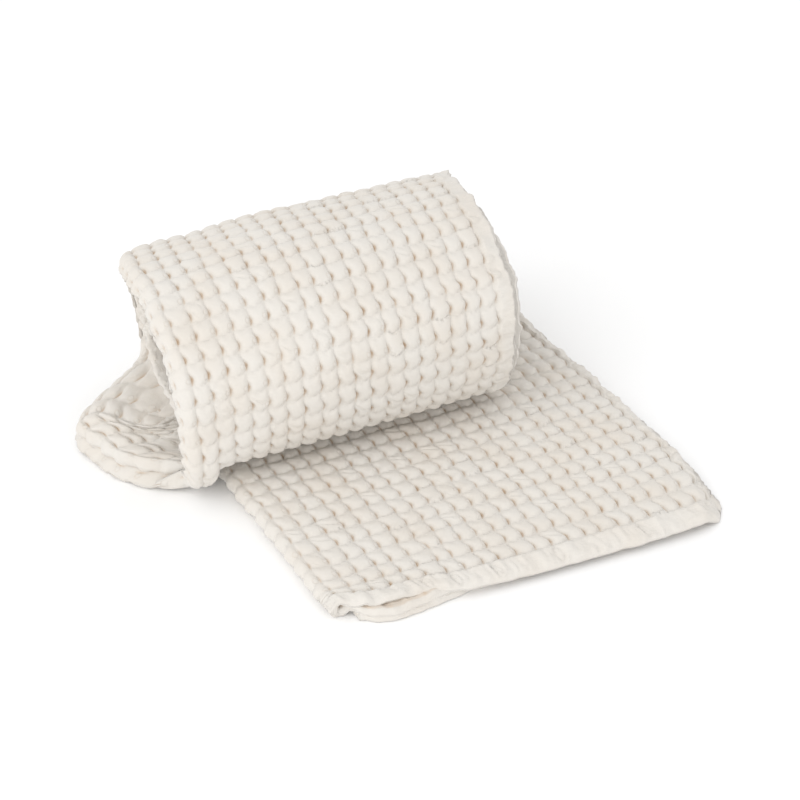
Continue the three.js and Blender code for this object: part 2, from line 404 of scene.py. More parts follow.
def hemRelief(a, b):
    # a runs along the hem, b across it, in cells
    ribs = hemLook["ribs"]
    (along, across), (fineAlong, fineAcross) = ribs["perCell"]
    coarse, fine = ribs["shares"]
    ribbed = coarse * cloudy(a * along, b * across, 2)
    ribbed = ribbed + fine * cloudy(a * fineAlong + 7, b * fineAcross, 3)
    ribbed = np.sign(ribbed) * np.abs(ribbed) ** ribs["round"]
    knots = hemLook["knots"]
    knotted = cloudy(a * knots["perCell"][0] + 3, b * knots["perCell"][1] + 2, 5)
    dents = hemLook["dents"]
    k = np.floor(a * dents["perCell"])
    alongDent = (a * dents["perCell"] - k - 0.5) / dents["size"][0]
    ring = np.hypot(alongDent, (b % 1 - 0.5) / dents["size"][1])
    isDented = cellRandom(k, np.full_like(k, 5), 1) < dents["chance"]
    dented = isDented * bell(ring - 1, dents["width"])
    height = hemLook["middle"] + ribs["rise"] * ribbed + knots["rise"] * knotted
    height = height - dents["depth"] * dented
    return hemLook["ground"] + hemLook["rise"] * height


def sideEdges(along, turn):
    edges = {name: readColumn(sideRows, sideColumns, name, turn) for name in sideColumns[1:]}
    lines = {
        "left": edges["left"],
        "right": edges["right"],
        "lowLeft": edges["left"] + edges["under"],
        "topRight": edges["right"] + edges["over"],
    }
    return {name: softened(line, along, lay["edgeSoft"]) for name, line in lines.items()}


def settle(x, y, z):
    # the roll sags a little towards its ends and is crowned between them
    lift = smooth(stackThick, lay["sinkHeight"], z)
    atLeft = smooth(*lay["leftSag"]["x"], x)
    atRight = smooth(*lay["rightSag"]["x"], x)
    sag = lay["leftSag"]["height"] * atLeft + lay["rightSag"]["height"] * atRight
    height = 1 - lift * sag
    depth = 1 - lift * lay["leftSag"]["depth"] * atLeft
    crown = lay["crown"]
    crownRise = crown["base"] + crown["rise"] * bell(x - crown["x"], crown["spread"])
    rise = crownRise + lay["ripple"]["rise"] * np.sin(y / lay["ripple"]["span"])
    sway = lay["sway"]
    swayed = sway["reach"] * np.sin(x / sway["span"] + sway["shift"])
    newY = strip["rollMidY"] + (y - strip["rollMidY"]) * depth + swayed * lift
    newZ = z * height + rise * lift * smooth(*crown["z"], z)
    return x, newY, newZ


def placeCloth(turn, edges, x, h, layer):
    # turn and edges run along the strip, x, h and layer across it
    t = turn[:, None]
    centreY, centreZ = strandPoint(t)
    inY, inZ = strandNormal(t)
    left, right, topRight = (edges[k][:, None] for k in ("left", "right", "topRight"))

    def between(form):
        # comes in over the form's from turns and goes out over its to turns
        return smooth(*form["from"], t) * (1 - smooth(*form["to"], t))

    loft = lay["flapLoft"]
    lofted = between(loft) * (1 - smooth(*loft["inFromEdge"], x - left))
    rise = h * (1 + loft["rise"] * lofted * (h > middleLow * 0.9)) - stackThick / 2
    bulge = lay["flapBulge"]
    bulged = between(bulge) * bell(x - left - bulge["at"], bulge["reach"])
    rise = rise + bulge["rise"] * bulged * smooth(strip["layerThick"], middleLow + 1, h)
    droop = lay["hemDrop"]
    overhang = np.maximum(0, x - right - droop["start"])
    drop = np.minimum(droop["most"], droop["slope"] * overhang) * (1 - smooth(*droop["to"], t))
    rise = rise - np.where(layer == topLayer, drop, 0)
    standOff = lay["standOff"]
    rise = rise - standOff["depth"] * between(standOff) * smooth(*standOff["x"], x)
    mouth = smooth(-1 + lay["mouthReach"] / strip["openLength"], -1, t)
    gape = mouth * readColumn(mouthRows, mouthColumns, "rise", x)
    hang = mouth * readColumn(mouthRows, mouthColumns, "hang", x)
    rise = rise + np.where(layer == topLayer, gape, 0) - np.where(layer == middleLayer, hang, 0)
    y = centreY + inY * rise
    z = centreZ + inZ * rise
    # the hems in front run ahead or back
    atEnd = smooth(-1 + lay["openEndReach"] / strip["openLength"], -1, t)
    across = np.clip((x - left) / (topRight - left), 0, 1)
    ahead = np.zeros_like(across)
    for number, name in enumerate(openColumns[1:]):
        stands = readColumn(openRows, openColumns, name, across)
        ahead = np.where(layer == number, stands, ahead)
    wave = lay["frontWave"]
    coarse = cloudy(x / wave["spans"][0] + layer * 7, layer * 3 + 0.5, 2)
    fine = cloudy(x / wave["spans"][1] + layer * 5, layer + 0.5, 3)
    y = y - atEnd * (ahead + wave["reach"] * (coarse + wave["fineShare"] * fine))
    flap = lay["flap"]
    z = z - wrapPitch * between(flap) * smooth(*flap["x"], x)
    gather = lay["gather"]
    near, far = gather["inFromEdge"]
    pulled = between(gather) * smooth(left + near, left + far, x)
    pulled = gather["share"] * pulled * (1 - smooth(*gather["x"], x))
    y = y + (gather["toY"] - y) * pulled
    z = z + (gather["toZ"] - z) * pulled
    return settle(x, y, z)


def stationsAlong(fromTurn, toTurn, parts, lead=()):
    # stations on whole parts of a cell, plus the two ends
    start = alongAt(fromTurn)
    end = alongAt(toTurn)
    step = weave["cellAlong"] / parts
    inner = np.arange(math.ceil(start / step + 0.3), math.floor(end / step - 0.3) + 1) * step
    leads = [start + d for d in lead]
    inner = inner[inner > (leads[-1] if leads else start) + 0.4]
    return np.concatenate([[start], leads, inner, [end]])


class Section:
    # gathers the ring of points round the folded strip, run by run
    def __init__(self, stations):
        self.stations = stations
        self.columns = []

    # the last value is the point's share of painted shade, the brown that stands for shade in
    # folds and holes
    def add(self, x, h, layer, u, puff=0.0, hem=0.0, side=upperSide, paintedShade=0.0):
        row = (x, h, u, puff, hem, paintedShade, layer, side)
        self.columns.append([np.broadcast_to(value, (self.stations,)) for value in row])

    def stacked(self):
        return [np.stack(values, 1) for values in zip(*self.columns)]


def cellPlaces(first, last, parts):
    count = max(1, int(round((last - first) * parts)))
    return first + (last - first) * np.arange(count + 1) / count


def hangs(x, lowLeft):
    # how far the middle layer hangs down beside the low layer's left hem
    near, far = rims["hang"]["x"]
    return (middleLow - rims["hang"]["clear"]) * (1 - smooth(lowLeft + near, lowLeft + far, x))


def topPlaces(inner):
    # cells where the top layer's upper face gets points: close where it shows
    count = inner["columns"]
    first, last = inner.get("fine", (0, count))
    places = cellPlaces(first, last, inner["parts"])
    if first > 0:
        places = np.concatenate([cellPlaces(0, first, 0.5)[:-1], places])
    if last < count:
        places = np.concatenate([places[:-1], cellPlaces(last, count, 0.4)])
    return places, first, last


def makeSection(part, edges, turn, v):
    # from the top layer's right hem leftwards, round all three layers and back
    thick = strip["layerThick"]
    gap = strip["layerGap"]
    ring = Section(len(v))
    inner = part.get("inner")
    outer = part.get("outer")
    tube = part.get("tube", 0)
    # wavy edges, in mm: the top layer's hem, the two at the right fold, the low left hem
    wave = part["hemWave"]
    scallop = part["scallop"] * np.abs(np.sin(np.pi * (v + 0.3)))
    topWave = wave * wavyLine(v, 1.1, 3, 0) + scallop
    rightWave = wave * (1.2 * wavyLine(v, 1.6, 9, 1) + 0.8 * wavyLine(v, 3.7, 19, 1))
    secondWave = wave * (1.2 * wavyLine(v, 1.5, 17, 2) + 0.8 * wavyLine(v, 3.3, 14, 1))
    lowWave = wave * wavyLine(v, 1.1, 25, 3)
    curled = part.get("curled", 0)
    if curled:
        fades = part.get("curlFades")
        curled = 1 - smooth(*fades, turn) if fades else np.ones(len(v))
    left = edges["left"] + part["tuck"] * curled
    right = edges["right"]
    foldWide = tube or foldRound
    leftStart = left + foldWide
    rightStart = right - foldRound
    topRight = edges["topRight"] + topWave
    lowLeft = edges["lowLeft"] + lowWave
    faceEnd = topRight - rims["lip"]

    def insideFace(h, layer, start, end, backwards, puff=0.0, side=upperSide):
        # a face inside the fold, with its few points moved inwards where it is short, and
        # painted shade for the shade inside the fold
        marks = part["hidden"]
        fromEdge, apart = 0.6, 0.4
        runs = [start]
        for k, mark in enumerate(marks):
            last = end - (len(marks) - k) * apart - fromEdge
            runs.append(np.clip(mark, start + fromEdge + k * apart, last))
        runs.append(end)
        for x in runs[::-1] if backwards else runs:
            height = h(x) if callable(h) else h
            u = (x - weave["insideFrom"]) / weave["cellAcross"]
            ring.add(x, height, layer, u, puff, 0, side, part["shadeInside"])

    def hung(h):
        return (lambda x: h - hangs(x, lowLeft)) if tube else h

    def softAt(place):
        return part["leftSoft"] + (1 - part["leftSoft"]) * min(1, place / weave["softCells"])

    # top layer, upper face, from its right hem to the left fold
    if inner:
        wide = inner["hemWide"]
        count = inner["columns"]
        hemStart = topRight - wide
        for k in cellPlaces(0, 1, inner["parts"] * wide / weave["hemCell"])[1:][::-1]:
            x = hemStart + (wide - rims["lip"]) * k
            u = count + 0.02 + 1.1 * k
            ring.add(x, topLow + thick, topLayer, u, 1, min(1, 3 * k))
        places, first, last = topPlaces(inner)
        for place in places[::-1]:
            x = leftStart + (hemStart - leftStart) * place / count
            puff = softAt(place)
            if first > 0:
                puff = puff * smooth(first - 0.01, first + 1.0, place)
            if last < count:
                x = leftStart + inner["cellWide"] * place
                if place > last:
                    lastX = leftStart + inner["cellWide"] * last
                    x = lastX + (hemStart - lastX) * (place - last) / (count - last)
                puff = puff * (1 - smooth(last - 1.0, last + 0.01, place))
            ring.add(x, topLow + thick, topLayer, place, puff)
    else:
        insideFace(topLow + thick, topLayer, leftStart, faceEnd, True)
    # left fold
    middle = stackThick / 2 + 0.05 if tube else topLow - gap / 2
    radius = stackThick / 2 - 0.05 if tube else foldRound
    for k in np.linspace(0, 1, part["foldParts"] + 2)[1:-1]:
        x = leftStart - foldWide * math.sin(k * math.pi)
        h = middle + radius * math.cos(k * math.pi)
        ring.add(x, h, topLayer if k < 0.5 else middleLayer, -1.3 * k, part["foldPuff"])
    # middle layer's lower face, the turn inside the right fold, low layer's upper face
    insideFace(hung(middleLow), middleLayer, leftStart, rightStart, False)
    # painted shade in the turn inside the right fold
    ring.add(rightStart + gap * 0.6, thick + gap / 2, middleLayer, 0.5, paintedShade=0.7)
    curl = part.get("curl", 0)
    shape = rims["curl"]
    base = edges["left"] + shape["foot"] + part["tuck"] + curl
    lowStart = lowLeft + rims["lowHemWide"]
    if curl:
        lowStart = np.maximum(lowLeft, base) + shape["wide"]
    insideFace(thick, lowLayer, lowStart, rightStart, True, part["lowPuff"])
    # low layer's left hem: plain, or curled up round the left fold
    if curl:
        rim = [(-1.2 + 0.5 * curl, thick), (-1.8, thick + 1), (-2.2, middleLow + 1.2),
               (-2.3, topLow - 1), (-2.4, topLow + 1.0), (-3.0, topLow + 2.2)]
        wideEnough = smooth(4, 10, lowStart - lowLeft)
        for n, (dx, height) in enumerate(rim):
            k = (n + 1) / len(rim)
            flatX = lowStart + (lowLeft + 0.7 - lowStart) * k
            arch = math.sin(math.pi * min(1, 1.05 * k))
            flatH = thick + shape["flatRise"] * arch * wideEnough
            x = flatX + (left + dx - flatX) * curled
            h = flatH + (height - flatH) * curled
            puff = part["curlPuff"] * (1 - curled)
            ring.add(x, h, lowLayer, 1.1 - 1.5 * k, puff, 0, lowerSide)
        for k in np.linspace(0, 1, part["curlParts"] + 1)[:-1]:
            angle = k * math.pi / 2
            flatX = lowLeft + (base - lowLeft) * k * k
            flatH = shape["flatEdge"] * (1 - smooth(0, 0.3, k))
            curledH = (topLow + shape["lip"]) * (1 - math.sin(angle))
            x = flatX + (base - curl * math.cos(angle) - flatX) * curled
            h = flatH + (curledH - flatH) * curled
            ring.add(x, h, lowLayer, -1.3 + 1.3 * k, part["curlPuff"], 0, lowerSide)
        outerStart = base
    else:
        for dx, share, u, puff in rims["lowHem"]:
            ring.add(lowLeft + dx, thick * share, lowLayer, u, puff, 1, lowerSide)
        outerStart = lowStart
    # low layer's outer face, from left to right
    if outer:
        wide = outer["hemWide"]
        count = outer["columns"]
        outerEnd = right + rightWave - wide
        for place in cellPlaces(0, count, outer["parts"])[:-1]:
            x = outerStart + (outerEnd - outerStart) * place / count
            ring.add(x, 0, lowLayer, place, softAt(place), 0, lowerSide)
        for k in cellPlaces(0, 1, outer["parts"])[:-1]:
            x = outerEnd + (wide - rims["outerLip"]) * k
            ring.add(x, 0, lowLayer, count + 1.1 * k, 0.8, min(1, 5 * k), lowerSide)
    else:
        insideFace(0, lowLayer, outerStart, right - 2, False, part["lowPuff"] * 0.5, lowerSide)
    # right fold, pressed so that its two layers show as two edges
    press = rims["rightPress"]
    pressed = press["open"] + (press["rolled"] - press["open"]) * smooth(*press["from"], turn)
    for dx, h in rims["rightLow"]:
        ring.add(right + rightWave + dx, h, lowLayer, 30 + 0.3 * h, 0.5, 1, lowerSide)
    # painted shade in the pressed groove between the right fold's two edges
    ring.add(right - press["in"] - pressed, foldRound, middleLayer, 31, paintedShade=0.9)
    step = rims["rightStep"]
    stepped = step["out"] * smooth(*step["from"], turn) * (1 - smooth(*step["to"], turn))
    for dx, h in rims["rightHigh"]:
        x = right + secondWave + stepped + dx
        ring.add(x, h, middleLayer, 30 + 0.3 * h, 0.5, 1, lowerSide)
    # middle layer's upper face, the turn inside the left fold, top layer's lower face
    upper = hung(middleLow + thick)
    insideFace(upper, middleLayer, leftStart, rightStart, True, part["lowPuff"])
    if tube:
        # the open fold's hole, with painted shade inside it
        hole = rims["hole"]
        narrowed = hole["narrower"] * smooth(*hole["over"], v * weave["cellAlong"])
        reach = (topLow - thick - hole["clear"]) / 2
        reach = reach * (hole["wide"] - narrowed)
        for k in (0.25, 0.5, 0.75):
            x = leftStart - reach * math.sin(k * math.pi)
            h = stackThick / 2 - reach * math.cos(k * math.pi)
            ring.add(x, h, middleLayer if k < 0.5 else topLayer, 0.5, paintedShade=hole["paintedShade"])
    else:
        ring.add(leftStart - gap * 0.6, topLow - gap / 2, middleLayer, 0.5)
    insideFace(topLow, topLayer, leftStart, faceEnd, False)
    # top layer's right hem
    for dx, share in rims["topHem"]:
        ring.add(topRight + dx, topLow + thick * share, topLayer, 32 + share, 0.6, 1)
    return ring.stacked()


def roundFront(h, x, layer, edges, fromEnd, endRound):
    # the hems in front: a little thicker, and rounded off
    hems = frontHems
    thicker = 1 + hems["thicker"] * (1 - smooth(*hems["thickerOver"], fromEnd))
    lower = hems["lowThicker"] * (layer > topLayer)
    thicker = thicker + lower * (1 - smooth(*hems["lowThickerOver"], fromEnd))
    inside = 1 - np.minimum(fromEnd, endRound) / endRound
    rounded = thicker * np.sqrt(np.clip(1 - inside ** 2, hems["least"], 1))
    hanging = (layer == middleLayer) * hangs(x, edges["lowLeft"][:, None])
    layerMid = (lowLayer - layer) * middleLow + strip["layerThick"] / 2 - hanging
    squeezed = layerMid + (h - layerMid) * rounded
    atFold = smooth(*hems["foldFromEdge"], x - edges["left"][:, None])
    h = h + (squeezed - h) * atFold
    pressed = (h - stackThick / 2) * (np.minimum(rounded, 1) - 1) * hems["foldShare"]
    return h + pressed * (1 - atFold)


def buildGrid(part):
    # every point of one stretch of the strip, with one more station at each end
    # than it keeps, so that the shading runs on across the joins
    along = stationsAlong(*part["turns"], part["perCell"], part["lead"])
    before = 2 * along[0] - along[1]
    after = 2 * along[-1] - along[-2]
    along = np.concatenate([[before], along, [after]])
    turn = turnAt(along)
    edges = sideEdges(along, turn)
    v = along / weave["cellAlong"]
    x, h, u, puff, hem, paintedShade, layer, side = makeSection(part, edges, turn, v)
    vv = np.broadcast_to(v[:, None], x.shape)
    w = vv * side
    fromEnd = np.maximum(along - alongAt(-1), 0)[:, None]
    endRound = part["endRound"]
    endHem = np.zeros_like(vv)
    if endRound:
        h = roundFront(h, x, layer, edges, fromEnd, endRound)
        endHem = 1 - smooth(*frontHems["cells"], vv)
        # less painted shade close to the front end
        paintedShade = paintedShade * smooth(*frontHems["shadeFrom"], fromEnd)
    # the columns stray a little and bulge to the right beside each nub
    crumple = weave["crumple"]
    patch = crumple["patch"]
    crumpled = smooth(*crumple["from"], cloudy(u * patch + 3, w * patch + 11, 1))
    cellWide = (edges["topRight"] - edges["left"])[:, None] / 20
    stray = weave["loose"] * (1 + crumple["stray"] * crumpled) * cloudy(u, w, 0)
    bulge = part["bulge"] * np.sin(2 * np.pi * (w - 0.03))
    x = x + cellWide * (stray + bulge) * puff * (1 - hem)
    points = np.stack(placeCloth(turn, edges, x, h, layer), -1)
    # puffs with fine wrinkles, and flatter hems
    height, hollow = puffRelief(u, w, part["rowDepth"])
    least, more = crumple["wrinkle"]
    wrinkles = weave["wrinkle"] * cloudy(u * 3.1, w * 3.1, 4) * (least + more * crumpled)
    folds = crumple["folds"] * crumpled * cloudy(u * 1.3 + 9, w * 2.1, 6)
    height = height + (wrinkles + folds) / weave["puffRise"]
    sideHem = hemRelief(vv * 1.0, u * 0.9)
    frontHem = hemRelief(u * 1.05 + 40, vv * 1.1)
    flat = np.clip(np.maximum(hem, endHem), 0, 1) * (puff > 0)
    height = height * (1 - flat) + np.where(hem > 0.5, sideHem, frontHem) * flat
    rise = weave["puffRise"] * (height - weave["sink"]) * puff
    rise = rise * (1 - crumple["flatter"] * crumpled)
    if endRound:
        rise = rise * smooth(*frontHems["reliefFrom"], fromEnd)
    # the painted shade mask: the puffs' hollows, less on the hems, plus the painted shade of
    # folds and holes
    hollow = np.clip(hollow, 0, 1.5) * puff * (1 - 0.75 * flat) + paintedShade
    normal = gridNormals(points)
    points = points + normal * rise[..., None]
    points[..., 2] = np.maximum(points[..., 2], 0)
    points[..., 0] += strip["originShift"][0]
    points[..., 1] += strip["originShift"][1]
    normal = gridNormals(points)
    # the rings at the two ends, each seen along the strip
    ends = []
    for station in (1, -2):
        inwards = np.array(strandNormal(turn[station]))
        ends.append(np.stack([points[station, :, 0], points[station, :, 1:] @ inwards], -1))
    kept = slice(1, -1)
    return {
        "points": points[kept], "normal": normal[kept], "u": u[kept], "w": w[kept],
        "hollow": hollow[kept], "hem": flat[kept], "ends": ends,
    }


def gridNormals(points):
    across = np.roll(points, -1, 1) - np.roll(points, 1, 1)
    along = np.gradient(points, axis=0)
    normal = np.cross(along, across)
    length = np.linalg.norm(normal, axis=-1, keepdims=True)
    return normal / np.maximum(length, 1e-9)


def clipEars(ring):
    # triangles that close a flat ring of points, one ear after the other
    x = ring[:, 0]
    z = ring[:, 1]
    sign = 1 if np.sum(x * np.roll(z, -1) - np.roll(x, -1) * z) > 0 else -1

    def sideOf(a, b, c):
        # over 0 where c lies on the inner side of the line from a to b
        return sign * ((x[b] - x[a]) * (z[c] - z[a]) - (z[b] - z[a]) * (x[c] - x[a]))

    used = list(range(len(ring)))
    faces = []
    step = 0
    passed = 0
    while len(used) > 3 and passed < 2 * len(used):
        step %= len(used)
        a, b, c = used[step - 1], used[step], used[(step + 1) % len(used)]
        isEar = sideOf(a, b, c) > 1e-9
        if isEar:
            others = np.array([k for k in used if k not in (a, b, c)])
            within = (sideOf(a, b, others) >= -1e-9) & (sideOf(b, c, others) >= -1e-9)
            isEar = not np.any(within & (sideOf(c, a, others) >= -1e-9))
        if isEar:
            faces.append((a, b, c))
            used.pop(step)
            step = max(step - 1, 0)
            passed = 0
        else:
            step += 1
            passed += 1
    return faces + [(used[0], used[k], used[k + 1]) for k in range(1, len(used) - 1)]


def zipRing(ring):
    # the same for the open end, where the layers press into each other: from the
    # top layer's hem round both ways, always by the shorter new edge
    i = 0
    j = len(ring) - 1
    faces = []
    while j - i > 1:
        if np.sum((ring[i + 1] - ring[j]) ** 2) < np.sum((ring[i] - ring[j - 1]) ** 2):
            faces.append((i, i + 1, j))
            i += 1
        else:
            faces.append((i, j - 1, j))
            j -= 1
    return faces


def addObject(name, data):
    added = bpy.data.objects.new(name, data)
    bpy.context.scene.collection.objects.link(added)
    return added


def makeCloth(name, part, material):
    grid = buildGrid(part)
    stations, count = grid["u"].shape
    ring = np.arange(count)
    base = np.arange(stations - 1)[:, None] * count
    a = base + ring
    b = base + (ring + 1) % count
    quads = np.stack([a, a + count, b + count, b], -1).reshape(-1, 4)
    # a cap at each end
    firstRing, lastRing = grid["ends"]
    firstFaces = zipRing(grid["points"][0]) if part["endRound"] else clipEars(firstRing)
    lastFaces = clipEars(lastRing)
    caps = [list(face) for face in firstFaces]
    caps += [[(stations - 1) * count + k for k in face[::-1]] for face in lastFaces]
    mesh = bpy.data.meshes.new(name)
    mesh.from_pydata((grid["points"].reshape(-1, 3) * mm).tolist(), [], quads.tolist() + caps)
    loops = np.zeros(len(mesh.loops), np.int32)
    mesh.loops.foreach_get("vertex_index", loops)
    uv = mesh.uv_layers.new(name="cloth")
    flat = np.stack([grid["u"].reshape(-1)[loops], grid["w"].reshape(-1)[loops]], -1)
    uv.data.foreach_set("uv", flat.reshape(-1).astype(np.float32))
    # hollow carries the painted shade mask to the material
    for key in ("hollow", "hem"):
        attribute = mesh.attributes.new(key, "FLOAT", "POINT")
        attribute.data.foreach_set("value", grid[key].reshape(-1).astype(np.float32))
    mesh.polygons.foreach_set("use_smooth", [True] * len(mesh.polygons))
    normals = grid["normal"].reshape(-1, 3)[loops]
    normals[len(quads) * 4:] = 0  # the caps keep their own
    mesh.normals_split_custom_set(normals.tolist())
    mesh.materials.append(material)
    print(name, stations, "by", count, "points,", 2 * len(quads) + len(caps), "triangles")
    return addObject(name, mesh)


class Graph:
    # short ways to add nodes to a tree and link them
    def __init__(self, tree):
        self.tree = tree

    def node(self, kind, **settings):
        node = self.tree.nodes.new(kind)
        for key, value in settings.items():
            setattr(node, key, value)
        return node

    def put(self, socket, value):
        if isinstance(value, bpy.types.NodeSocket):
            self.tree.links.new(value, socket)
        else:
            socket.default_value = value

    def feed(self, node, values):
        for key, value in values.items():
            self.put(node.inputs[key], value)
        return node

    def math(self, operation, a, b=0.0, c=None, clamp=False):
        node = self.node("ShaderNodeMath", operation=operation, use_clamp=clamp)
        self.put(node.inputs[0], a)
        self.put(node.inputs[1], b)
        if c is not None:
            self.put(node.inputs[2], c)
        return node.outputs[0]

    def ramp(self, value, low, high, toLow=0.0, toHigh=1.0):
        node = self.node("ShaderNodeMapRange", interpolation_type="SMOOTHSTEP")
        self.feed(node, {"Value": value, "From Min": low, "From Max": high,
                         "To Min": toLow, "To Max": toHigh})
        return node.outputs["Result"]

    def bell(self, value, reach):
        share = self.math("DIVIDE", value, reach)
        square = self.math("MULTIPLY", share, share)
        return self.math("EXPONENT", self.math("MULTIPLY", square, -1.0))

    def noise(self, vector, scale, detail=2.0, rough=0.5):
        node = self.node("ShaderNodeTexNoise")
        self.feed(node, {"Vector": vector, "Scale": scale, "Detail": detail,
                         "Roughness": rough})
        return node.outputs["Fac"]

    def mix(self, share, a, b):
        node = self.node("ShaderNodeMix", data_type="RGBA")
        self.feed(node, {"Factor": share, "A": a, "B": b})
        return node.outputs["Result"]

    def place(self, tree, cells, values):
        # a node group on the cloth's cells, with its own values
        node = self.node("ShaderNodeGroup", node_tree=tree)
        return self.feed(node, {"Cells": cells, **values})


def newGroup(name, inputs, outputs):
    tree = bpy.data.node_groups.new(name, "ShaderNodeTree")
    for label, kind, value in inputs:
        socket = tree.interface.new_socket(name=label, in_out="INPUT", socket_type=kind)
        if value is not None:
            socket.default_value = value
    for label, kind in outputs:
        tree.interface.new_socket(name=label, in_out="OUTPUT", socket_type=kind)
    graph = Graph(tree)
    return tree, graph, graph.node("NodeGroupInput"), graph.node("NodeGroupOutput")


def makePuffMarks():
    # the small marks on each puff: the ring of the nub and the slit beside it, as masks for
    # their bump and their painted shade
    tree, g, into, out = newGroup(
        "puff marks",
        [("Cells", "NodeSocketVector", None), ("Nub Across", "NodeSocketFloat", 0.8),
         ("Nub Along", "NodeSocketFloat", 0.26), ("Nub Size", "NodeSocketFloat", 0.12)],
        [("Ring", "NodeSocketFloat"), ("Slit", "NodeSocketFloat")],
    )
    cells = g.node("ShaderNodeSeparateXYZ")
    g.put(cells.inputs[0], into.outputs["Cells"])
    u, w = cells.outputs[0], cells.outputs[1]
    fu = g.math("FRACT", u)
    fw = g.math("FRACT", w)
    cellId = g.node("ShaderNodeCombineXYZ")
    g.put(cellId.inputs[0], g.math("FLOOR", u))
    g.put(cellId.inputs[1], g.math("FLOOR", w))
    chance = g.node("ShaderNodeTexWhiteNoise", noise_dimensions="2D")
    g.put(chance.inputs["Vector"], cellId.outputs[0])
    luck = chance.outputs["Value"]
    stray = g.math("MULTIPLY_ADD", luck, 0.1, -0.05)
    du = g.math("SUBTRACT", fu, g.math("ADD", into.outputs["Nub Across"], stray))
    dw = g.math("SUBTRACT", fw, into.outputs["Nub Along"])
    far = g.math("SQRT", g.math("ADD", g.math("MULTIPLY", du, du), g.math("MULTIPLY", dw, dw)))
    ring = g.bell(g.math("SUBTRACT", far, into.outputs["Nub Size"]), 0.03)
    shown = g.ramp(luck, 0.15, 0.5)
    g.put(out.inputs["Ring"], g.math("MULTIPLY", ring, shown))
    side = g.math("SUBTRACT", g.math("FRACT", g.math("ADD", u, 0.5)), 0.5)
    along = g.math("SUBTRACT", fw, g.math("ADD", into.outputs["Nub Along"], -0.02))
    slit = g.math("MULTIPLY", g.bell(side, 0.06), g.bell(along, 0.2))
    g.put(out.inputs["Slit"], slit)
    return tree


def makeThreads():
    # warp and weft of the ground, with the threads' unevenness
    tree, g, into, out = newGroup(
        "threads",
        [("Cells", "NodeSocketVector", None), ("Threads", "NodeSocketFloat", 22.0),
         ("Uneven", "NodeSocketFloat", 0.5)],
        [("Height", "NodeSocketFloat")],
    )
    cells = g.node("ShaderNodeSeparateXYZ")
    g.put(cells.inputs[0], into.outputs["Cells"])
    turnsOf = g.math("MULTIPLY", into.outputs["Threads"], 2 * math.pi)
    warp = g.math("SINE", g.math("MULTIPLY", cells.outputs[0], turnsOf))
    weft = g.math("SINE", g.math("MULTIPLY", cells.outputs[1], turnsOf))
    over = g.math("MULTIPLY", warp, weft)
    fuzz = g.noise(into.outputs["Cells"], 34.0, 3.0, 0.7)
    fuzz = g.math("MULTIPLY", fuzz, into.outputs["Uneven"])
    g.put(out.inputs["Height"], g.math("ADD", g.math("MULTIPLY_ADD", over, 0.25, 0.5), fuzz))
    return tree


puffMarks = makePuffMarks()
threads = makeThreads()

# The towel's cotton, with painted shade in its hollows, slits and folds. Colours are linear,
# scales and places are in cells.
cottonLook = {
    "light": (0.725, 0.692, 0.643, 1),
    "warm": (0.715, 0.668, 0.606, 1),
    # the brown of the painted shade in the hollows between puffs, in the slits, nub rings,
    # folds and holes; below it how the hollow mask, the slits and the rings ramp into it
    "paintedShade": (0.53, 0.36, 0.21, 1),
    "patchScale": 0.35,
    "hollowFrom": (0.35, 1.35),
    "hollowMost": 0.8,
    "slitShade": 0.45,
    "ringShade": 0.1,
    "roughness": (0.86, 0.97),
    "sheen": 0.25,
    "sheenRoughness": 0.6,
    "specular": 0.3,
    "nub": {"Nub Across": 0.8, "Nub Along": 0.26, "Nub Size": 0.12},
    "threads": {"Threads": 20.0, "Uneven": 0.8},
    "wrinkleScale": 5.5,
    "pleatScale": (1.2, 6.5, 1.0),
    "relief": {"wrinkles": 0.7, "pleats": 1.6, "ring": -0.45, "slit": -0.8, "threads": 0.14},
    "bump": 0.6,
    "bumpReach": 0.0007,
}


